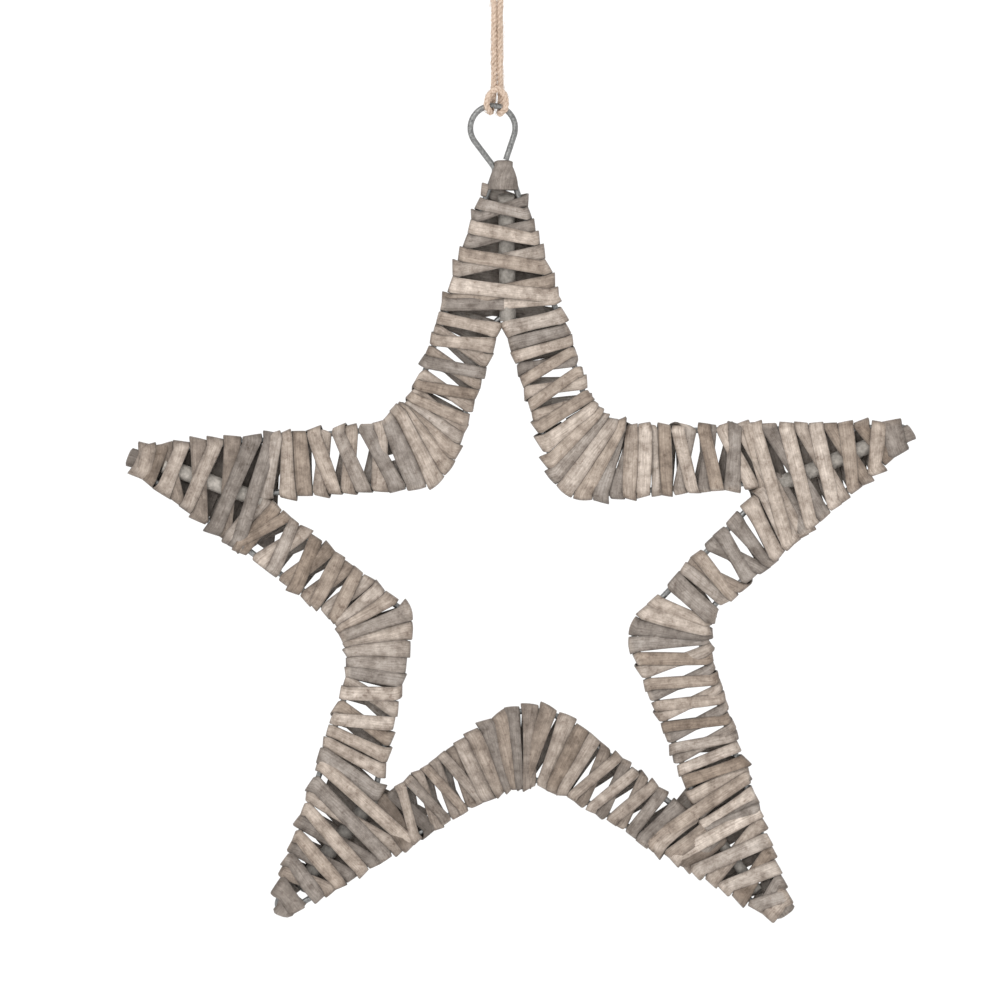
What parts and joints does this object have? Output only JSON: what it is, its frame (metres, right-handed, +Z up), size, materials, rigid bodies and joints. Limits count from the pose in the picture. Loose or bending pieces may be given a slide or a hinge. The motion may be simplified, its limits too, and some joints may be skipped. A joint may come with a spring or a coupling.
{
  "type": "hanging wicker star",
  "caption": "Open five-pointed star of split willow wound over bent wire and willow rods, hung by doubled jute twine from a wire eye.",
  "frame": {"origin": "the point where a hook bears, in the top of the twine's loop just under its knot", "axes": "+Z up along the hanging twine, +X to the right seen from the front, the front faces -Y"},
  "size_m": [0.406, 0.0162, 0.5173],
  "materials": {
    "wire": "dull galvanised",
    "willow_strip": "weathered grey-brown, unvarnished",
    "willow_rod": "peeled, weathered grey",
    "twine": "natural jute"
  },
  "bodies": {
    "root": {"outer_wire": "wire", "inner_wire": "wire", "core_stick_top": "willow_rod", "core_stick_left": "willow_rod", "core_stick_lower_left": "willow_rod", "core_stick_lower_right": "willow_rod", "core_stick_right": "willow_rod", "tip_under_winding_top": "willow_strip", "tip_under_winding_left": "willow_strip", "tip_under_winding_lower_left": "willow_strip", "tip_under_winding_lower_right": "willow_strip", "tip_under_winding_right": "willow_strip", "tip_over_winding_top": "willow_strip", "tip_over_winding_left": "willow_strip", "tip_over_winding_lower_left": "willow_strip", "tip_over_winding_lower_right": "willow_strip", "tip_over_winding_right": "willow_strip", "tip_cap_top": "willow_strip", "tip_cap_left": "willow_strip", "tip_cap_lower_left": "willow_strip", "tip_cap_lower_right": "willow_strip", "tip_cap_right": "willow_strip", "arm_winding_top_toward_left": "willow_strip", "arm_winding_left_toward_top": "willow_strip", "arm_winding_left_toward_lower_left": "willow_strip", "arm_winding_lower_left_toward_left": "willow_strip", "arm_winding_lower_left_toward_lower_right": "willow_strip", "arm_winding_lower_right_toward_lower_left": "willow_strip", "arm_winding_lower_right_toward_right": "willow_strip", "arm_winding_right_toward_lower_right": "willow_strip", "arm_winding_right_toward_top": "willow_strip", "arm_winding_top_toward_right": "willow_strip", "corner_winding_top_left": "willow_strip", "corner_winding_left_lower_left": "willow_strip", "corner_winding_lower_left_lower_right": "willow_strip", "corner_winding_lower_right_right": "willow_strip", "corner_winding_right_top": "willow_strip", "twine": "twine", "twine_knot": "twine"}
  },
  "joints": []
}
